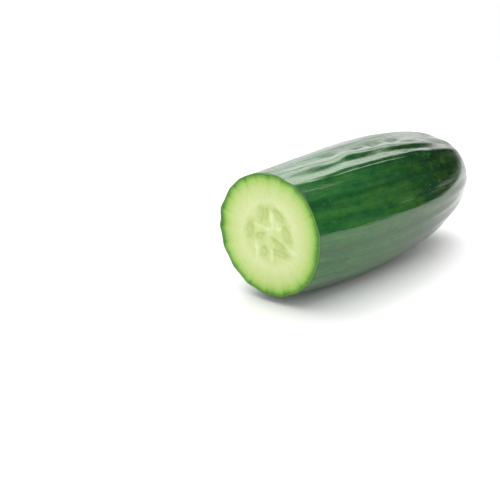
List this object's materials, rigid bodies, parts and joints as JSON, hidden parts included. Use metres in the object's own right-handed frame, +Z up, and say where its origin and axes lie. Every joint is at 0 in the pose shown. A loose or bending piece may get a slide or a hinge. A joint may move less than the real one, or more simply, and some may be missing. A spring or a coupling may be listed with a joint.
{
  "type": "cucumber",
  "caption": "Cut piece of a ripe cucumber with ribbed dark skin, a rounded blossom end and a flat cut face that shows flesh and seeds; it lies on its side.",
  "frame": {"origin": "bottom centre of the box round the piece as it lies", "axes": "+X along the piece from the flat cut to the blossom end, +Z up from the table"},
  "size_m": [0.12, 0.0516, 0.0513],
  "materials": {
    "skin": "waxy, glossy",
    "flesh": "moist, fresh cut"
  },
  "bodies": {
    "root": {"cucumber": "skin"}
  },
  "joints": []
}
